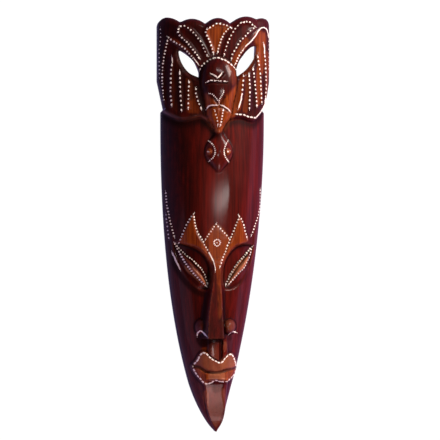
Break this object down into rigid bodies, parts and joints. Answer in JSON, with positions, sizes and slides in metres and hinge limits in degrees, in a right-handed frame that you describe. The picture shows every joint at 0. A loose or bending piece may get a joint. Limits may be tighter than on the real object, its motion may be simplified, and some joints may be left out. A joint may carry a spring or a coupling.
{
  "type": "carved wooden face mask",
  "caption": "Long pointed carved wooden mask with a winged bird crest, pierced leaf openings, slanted eyes, wedge nose and white dot painting.",
  "frame": {"origin": "centre of the bounding box in plan, on the plane of the flat back rim", "axes": "+X across the face to its right as seen from the front, +Y from the chin to the crest, +Z out of the face"},
  "size_m": [0.1348, 0.4999, 0.0655],
  "materials": {
    "stained_wood": "deep red-brown stain under satin varnish, orange-brown stain on the raised carving, white paint dots"
  },
  "bodies": {
    "root": {"mask": "stained_wood"}
  },
  "joints": []
}
